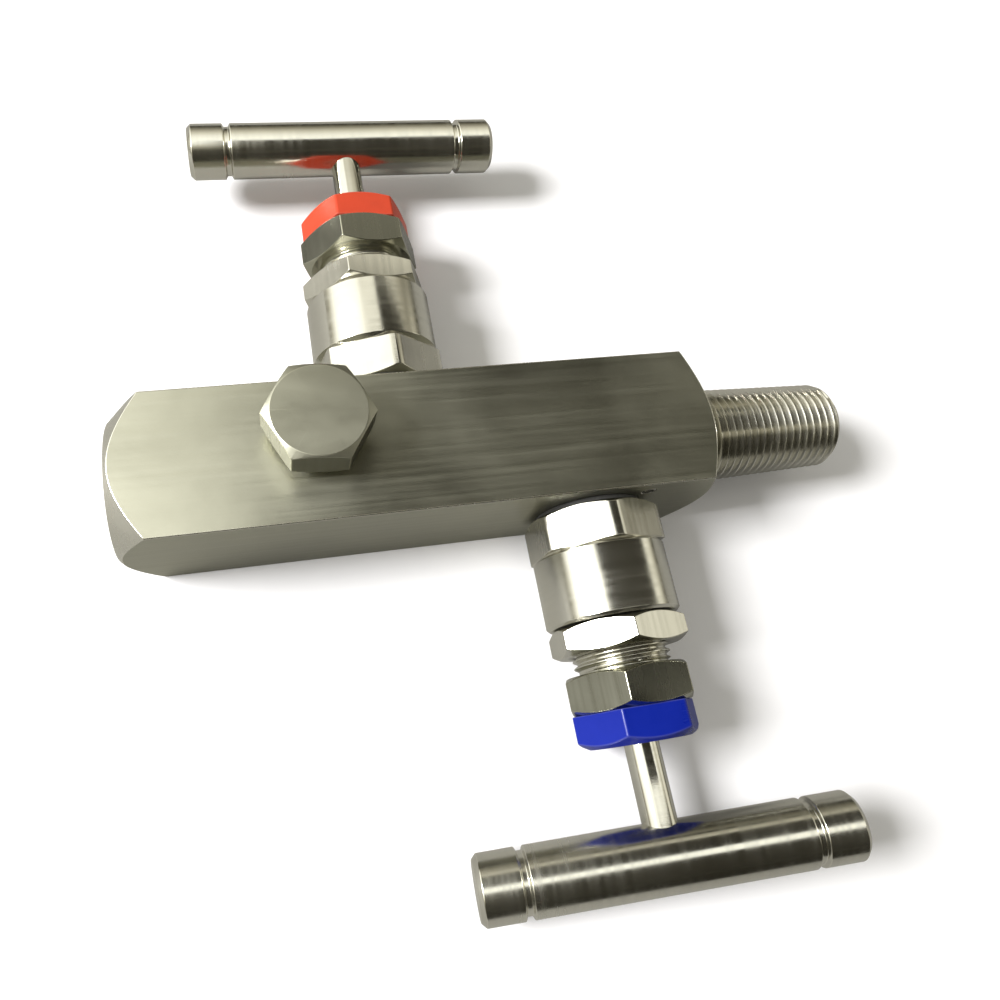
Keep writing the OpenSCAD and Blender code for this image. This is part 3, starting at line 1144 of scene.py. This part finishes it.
def handle(valve, place, turn):
    """T-bar with a grub screw, on the end of a spindle."""
    valve_place = turned(place, turn)
    across = valve_place @ Matrix.Translation((0, 0, HANDLE_S))
    along = across @ Matrix.Rotation(math.radians(90), 4, "Y")
    end = HANDLE_LEN / 2

    def groove(at):
        return [
            (HANDLE_R, at - 0.9), (HANDLE_R - 0.8, at - 0.5), (HANDLE_R - 0.8, at + 0.5),
            (HANDLE_R, at + 0.9),
        ]

    piece = rod(
        f"{valve}_handle_shape",
        along,
        [
            (0, -end), (HANDLE_R - 1, -end), (HANDLE_R, 1 - end), *groove(-GROOVE_X),
            *groove(GROOVE_X), (HANDLE_R, end - 1), (HANDLE_R - 1, end), (0, end),
        ],
        [0, 0.35, 0.35, *[0.25, 0.2, 0.2, 0.25] * 2, 0.35, 0.35, 0],
        128,
    )
    screw_place = across @ Matrix.Rotation(math.radians(90), 4, "X")
    cut(
        piece,
        drill(
            "spindle_hole",
            valve_place,
            [(SPINDLE_R + 0.02, HANDLE_S - 10), (SPINDLE_R + 0.02, HANDLE_S + 3.6)],
            96,
        ),
        drill("screw_hole", screw_place, [(2.02, 0), (2.02, 10)], 48),
    )
    material = HANDLE_STEEL[valve]
    finish_piece(
        piece, f"{valve}_handle", f"{valve}_spindle_body", [material]
    )

    low = SPINDLE_R + 0.05
    high = low + HANDLE_R - SPINDLE_R - 0.35
    screw = rod(
        f"{valve}_handle_screw_shape",
        screw_place,
        [(0, low), (2, low), (2, high), (0, high)],
        [0, 0.3, 0.35, 0],
        48,
    )
    cut(screw, hexagonal_prism("socket", screw_place, 2, low + 1, high + 2))
    finish_piece(
        screw,
        f"{valve}_handle_screw",
        f"{valve}_spindle_body",
        [SCREW_STEEL],
    )


HANDLE_STEEL = {
    valve: steel(
        f"{valve}_handle_bar",
        BRIGHT,
        0.20,
        (FINE, 90, 90),
        marks=0.12,
        wave=0.5,
        # the vent valve points the other way, so its handle turns the other way too
        tilt=-pose["handle"] if valve == "isolate" else pose["handle"],
        origin=ON_VALVE[valve] @ Vector((0, 0, HANDLE_S)) * MM,
    )
    for valve, pose in VALVES.items()
}

bar_body()
vent_plug()
for valve, pose in VALVES.items():
    place = ON_VALVE[valve]
    seat(valve, place)
    bonnet_seal(valve, place)
    bonnet(valve, place, pose["bonnet"])
    lock_pin(valve, place)
    lock_nut(valve, place, pose["lock_nut"])
    gland_bolt(valve, place, pose["gland_bolt"])
    gland_follower(valve, place)
    packing(valve, place)
    packing_washer(valve, place)
    dust_cap(valve, place, pose["dust_cap"])
    needle(valve, place)
    spindle(valve, place)
    handle(valve, place, pose["handle"])


# ---- camera, floor and light -------------------------------------------------------

# placed by a fit to the edges of the bar, the thread, the caps and the T-bars
camera_data = bpy.data.cameras.new("camera")
camera = bpy.data.objects.new("camera", camera_data)
scene.collection.objects.link(camera)
camera.location = (-0.0365, -0.0600, 0.1829)
camera.rotation_euler = (0.368, -0.150, -0.158)
camera_data.lens = 30.02
camera_data.sensor_width = 36
camera_data.shift_x = 0.08
camera_data.shift_y = -0.04
camera_data.clip_start = 0.01
scene.camera = camera
scene.view_settings.view_transform = "Standard"

# strength of the sky where it is bright and where it is dark, and the share of it that
# lights matt surfaces
SKY_GLOW = 1.64
SKY_DARK = 0.025
MATT_SHARE = 0.39


def floor():
    """Wide pale table with a faint grain."""
    mesh = bpy.data.meshes.new("floor")
    reach = 4.0
    mesh.from_pydata(
        [(-reach, -reach, 0), (reach, -reach, 0), (reach, reach, 0), (-reach, reach, 0)],
        [],
        [(0, 1, 2, 3)],
    )
    table = bpy.data.objects.new("floor", mesh)
    scene.collection.objects.link(table)
    f = Finish("pale_table")
    grain = f.noise(f.place((220, 220, 220)), 3, 0.5)
    pale = f.blend(grain, (0.88, 0.87, 0.885, 1.0), (0.91, 0.90, 0.91, 1.0))
    # reflections show a dimmer table than the camera sees
    path = f.tree.nodes.new("ShaderNodeLightPath")
    f.feed(
        f.shader.inputs["Base Color"],
        f.blend(path.outputs["Is Glossy Ray"], pale, (0.24, 0.234, 0.21, 1.0)),
    )
    f.shader.inputs["Roughness"].default_value = 0.85
    f.shader.inputs["Emission Color"].default_value = (1.0, 0.99, 1.0, 1.0)
    f.shader.inputs["Emission Strength"].default_value = 0.07
    mesh.materials.append(f.material)


def flag(name, across, along, height):
    """Level dark card, hung above the object or in front of it.

    It shows only in reflections, where it gives turned steel its dark bands.
    """
    mesh = bpy.data.meshes.new(name)
    (x0, x1), (y0, y1) = across, along
    mesh.from_pydata(
        [(x0, y0, height), (x1, y0, height), (x1, y1, height), (x0, y1, height)],
        [],
        [(0, 3, 2, 1)],
    )
    card = bpy.data.objects.new(name, mesh)
    scene.collection.objects.link(card)
    f = Finish("dark_card")
    f.shader.inputs["Base Color"].default_value = (0.025, 0.022, 0.012, 1.0)
    f.shader.inputs["Roughness"].default_value = 1.0
    mesh.materials.append(f.material)
    card.visible_camera = False
    card.visible_diffuse = False
    card.visible_shadow = False
    card.visible_transmission = False


def dome():
    """Sky that metal reflects, and a plain backdrop for the camera.

    It is bright overhead and low on the left, less so low on the right, and dark in front.
    """
    world = bpy.data.worlds.new("studio")
    scene.world = world
    world.use_nodes = True
    tree = world.node_tree
    back = tree.nodes["Background"]

    def math_node(kind, a, b=None, c=None):
        made = tree.nodes.new("ShaderNodeMath")
        made.operation = kind
        for socket, value in zip(made.inputs, (a, b, c)):
            if isinstance(value, bpy.types.NodeSocket):
                tree.links.new(value, socket)
            elif value is not None:
                socket.default_value = value
        return made.outputs[0]

    split = tree.nodes.new("ShaderNodeSeparateXYZ")
    tree.links.new(tree.nodes.new("ShaderNodeTexCoord").outputs["Generated"], split.inputs[0])
    x, y, z = split.outputs

    def ease(value, low, high, to_low, to_high):
        made = tree.nodes.new("ShaderNodeMapRange")
        made.interpolation_type = "SMOOTHSTEP"
        tree.links.new(value, made.inputs["Value"])
        for key, number in zip(
            ("From Min", "From Max", "To Min", "To Max"), (low, high, to_low, to_high)
        ):
            made.inputs[key].default_value = number
        return made.outputs[0]

    upward = math_node("POWER", math_node("MAXIMUM", z, 0.0), 2.0)
    overhead = math_node("MULTIPLY", upward, ease(x, 0.35, 0.65, 1.0, 1.4))
    left = math_node("MULTIPLY", ease(x, -0.38, -0.02, 1.0, 0.0), ease(z, -0.05, 0.3, 0.0, 1.0))
    right = math_node("MULTIPLY", ease(x, 0.75, 0.92, 0.0, 0.65), ease(z, 0.0, 0.3, 0.0, 1.0))
    brightest = math_node("MAXIMUM", overhead, math_node("MAXIMUM", left, right))
    lit = math_node("MULTIPLY", ease(y, -0.6, 0.0, 0.04, 1.0), brightest)
    glow = math_node("MULTIPLY_ADD", lit, SKY_GLOW, SKY_DARK)
    # matt surfaces get less of the sky than reflections do, so that the lamp's shadows show
    path = tree.nodes.new("ShaderNodeLightPath")
    share = math_node("MULTIPLY_ADD", path.outputs["Is Diffuse Ray"], MATT_SHARE - 1.0, 1.0)
    brightness = math_node("MULTIPLY", glow, share)
    colour = tree.nodes.new("ShaderNodeMix")
    colour.data_type = "RGBA"
    tree.links.new(lit, colour.inputs["Factor"])
    colour.inputs[6].default_value = (1.0, 0.92, 0.66, 1.0)
    colour.inputs[7].default_value = (1.0, 1.0, 0.93, 1.0)
    tree.links.new(colour.outputs[2], back.inputs["Color"])
    tree.links.new(brightness, back.inputs["Strength"])

    # the camera sees a plain pale backdrop behind the table
    plain = tree.nodes.new("ShaderNodeBackground")
    plain.inputs["Color"].default_value = (1, 1, 1, 1)
    plain.inputs["Strength"].default_value = 1.0
    mix = tree.nodes.new("ShaderNodeMixShader")
    tree.links.new(path.outputs["Is Camera Ray"], mix.inputs[0])
    tree.links.new(back.outputs[0], mix.inputs[1])
    tree.links.new(plain.outputs[0], mix.inputs[2])
    tree.links.new(mix.outputs[0], tree.nodes["World Output"].inputs["Surface"])


def soft_lamp(name, towards, distance, size, energy, colour):
    """Square soft light that hangs in a direction from the object and faces it."""
    data = bpy.data.lights.new(name, "AREA")
    data.size = size
    data.energy = energy
    data.color = colour
    lamp = bpy.data.objects.new(name, data)
    scene.collection.objects.link(lamp)
    lamp.location = Vector(towards).normalized() * distance
    lamp.rotation_euler = lamp.location.to_track_quat("Z", "Y").to_euler()


floor()
dome()
soft_lamp("key", (-0.73, 0.09, 0.68), 1.2, 0.36, 23.5, (1.0, 1.0, 1.0))
flag("flag_body", (-0.038, 0.360), (-0.052, 0.096), 0.186)
flag("flag_low", (0.006, 0.120), (0.050, 0.092), 0.100)
flag("flag_gland", (0.012, 0.070), (-0.075, -0.055), 0.070)
flag("flag_front", (-0.038, 0.300), (-0.420, -0.100), 0.186)
